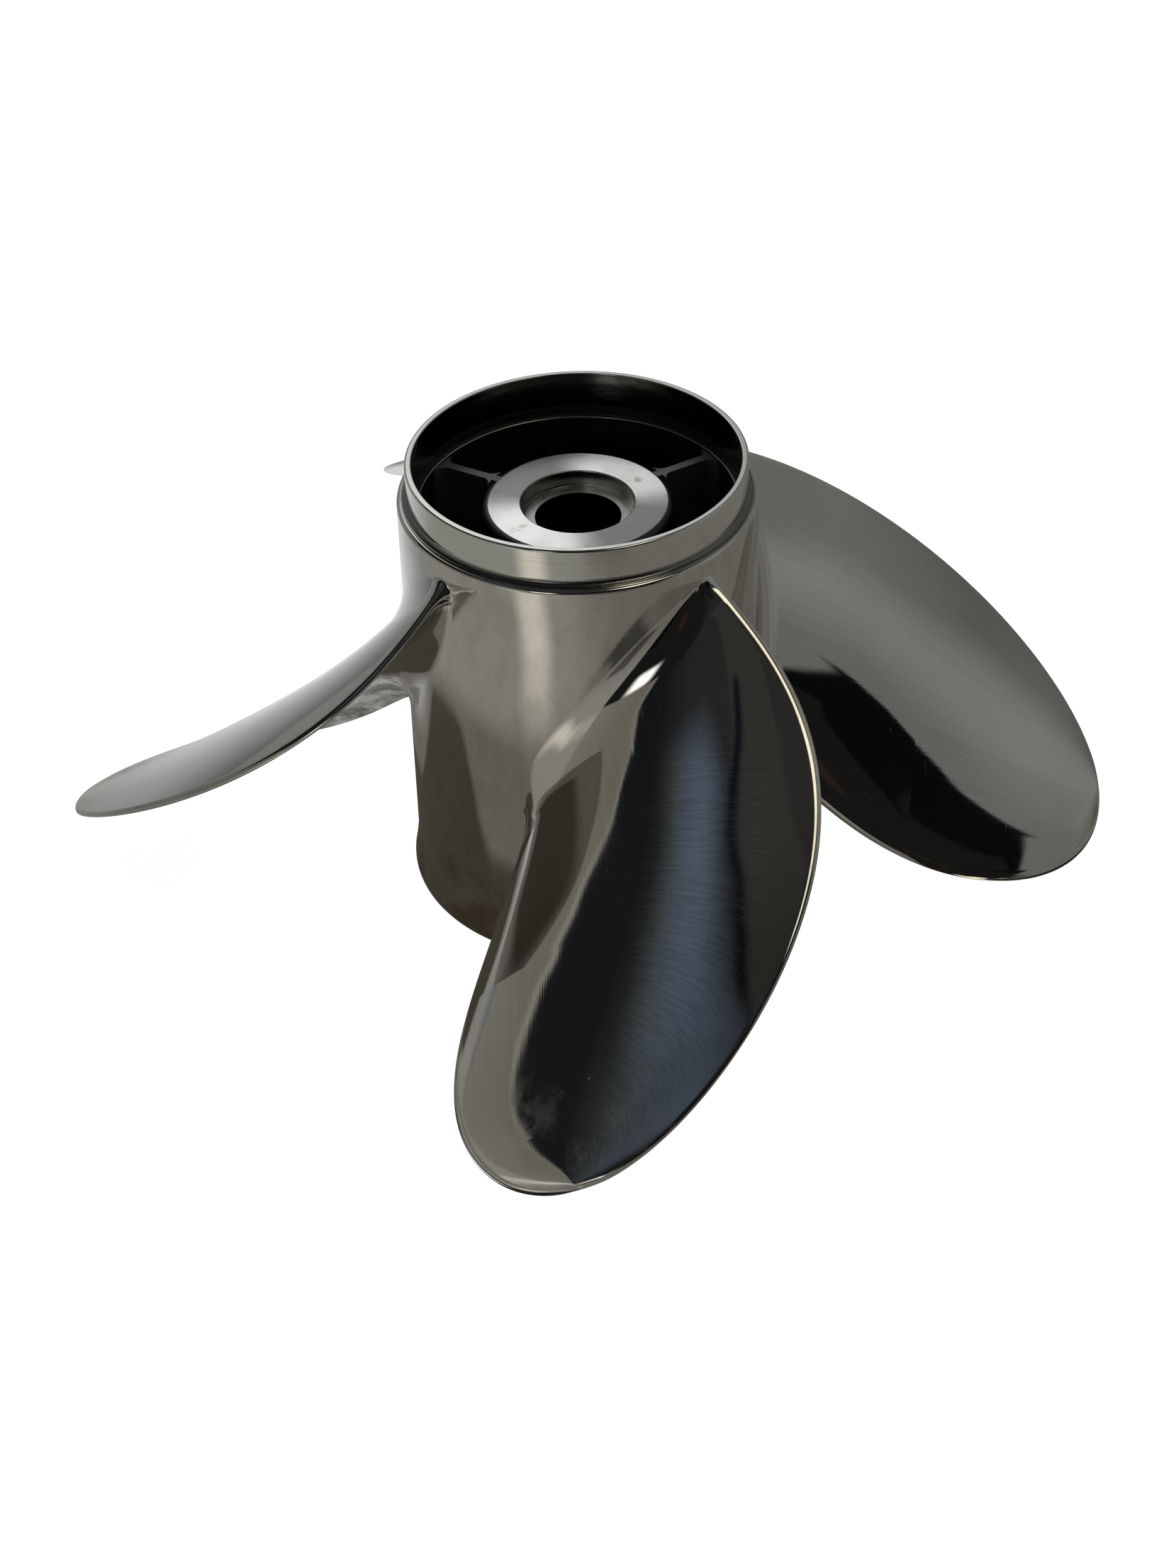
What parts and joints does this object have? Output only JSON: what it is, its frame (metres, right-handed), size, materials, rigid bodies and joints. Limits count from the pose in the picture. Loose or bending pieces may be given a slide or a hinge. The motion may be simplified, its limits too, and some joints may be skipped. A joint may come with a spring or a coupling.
{
  "type": "outboard boat propeller",
  "caption": "Right-hand stainless boat propeller: raked cupped blades on a through-exhaust barrel with a ribbed inner hub, rubber bushing and splined drive sleeve.",
  "frame": {"origin": "on the shaft axis at the aft face of the diffuser ring, which the propeller stands on", "axes": "+Z along the shaft axis, pointing forward to the pilot collar; -Y through the first blade; +X to the right of it"},
  "size_m": [0.3618, 0.3618, 0.1607],
  "materials": {
    "polished_barrel": "mirror polished stainless steel with fine scratches and faint stains",
    "polished_blade": "polished stainless steel, satin brushed in places",
    "turned_steel": "machined stainless steel with turning marks",
    "cast_steel": "as-cast stainless steel, matt and dark",
    "bushing_rubber": "black moulded rubber",
    "sleeve_steel": "machined steel with cut splines"
  },
  "bodies": {
    "propeller": {"barrel": "polished_barrel", "front_collar": "turned_steel", "diffuser_ring": "polished_barrel", "inner_hub": "turned_steel", "rib_1": "cast_steel", "rib_2": "cast_steel", "rib_3": "cast_steel", "blade_1": "polished_blade", "blade_2": "polished_blade", "blade_3": "polished_blade", "blade_4": "polished_blade", "rubber_bushing": "bushing_rubber"},
    "drive": {"drive_sleeve": "sleeve_steel"}
  },
  "joints": [
    {"name": "hub_twist", "type": "hinge", "parent": "propeller", "child": "drive", "pos_m": [0, 0, 0.085], "axis": [0, 0, 1], "range_deg": [-10, 10], "stiffness_Nm_per_rad": 2000}
  ]
}
